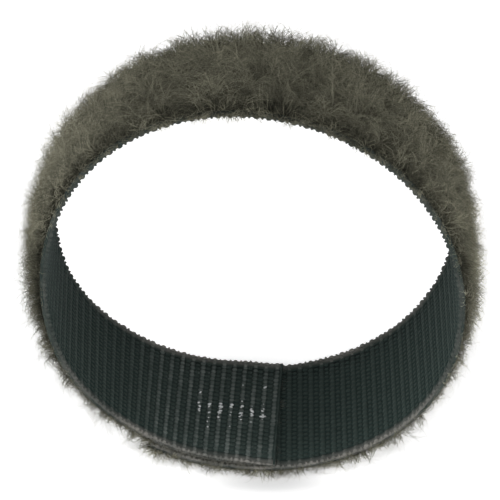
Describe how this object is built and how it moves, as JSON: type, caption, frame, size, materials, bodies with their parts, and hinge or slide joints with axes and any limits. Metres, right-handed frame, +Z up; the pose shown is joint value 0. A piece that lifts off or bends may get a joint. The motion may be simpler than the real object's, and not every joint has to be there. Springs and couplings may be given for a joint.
{
  "type": "loop tape ring",
  "caption": "Ring of napped loop tape with a ribbed woven back inside and soft pile outside, lapped and glued at the bottom, with an inner end that peels up.",
  "frame": {"origin": "on the floor, under the middle of the ring's box", "axes": "+Y along the ring's axis, away from the front rim; +Z up; +X to the right as seen from the front rim"},
  "size_m": [0.0504, 0.02, 0.0499],
  "materials": {
    "woven_web": "ribbed woven synthetic yarn, green black, resin locked",
    "selvedge": "bound woven edge, green black with paler edge threads",
    "nap": "brushed loop pile, olive grey",
    "crushed_nap": "pile pressed flat in the lap",
    "adhesive": "dried clear adhesive film"
  },
  "bodies": {
    "band": {"ground_web": "woven_web", "front_selvedge": "selvedge", "rear_selvedge": "selvedge", "loop_nap": "nap", "lap_adhesive": "adhesive"},
    "lap_end": {"lap_end_ground_web": "woven_web", "lap_end_front_selvedge": "selvedge", "lap_end_rear_selvedge": "selvedge", "lap_end_nap": "crushed_nap"}
  },
  "joints": [
    {"name": "lap_peel", "type": "hinge", "parent": "band", "child": "lap_end", "pos_m": [-0.0127, 0, 0.00581], "axis": [0.0237, -0.9991, 0.0343], "range_deg": [0, 110]}
  ]
}
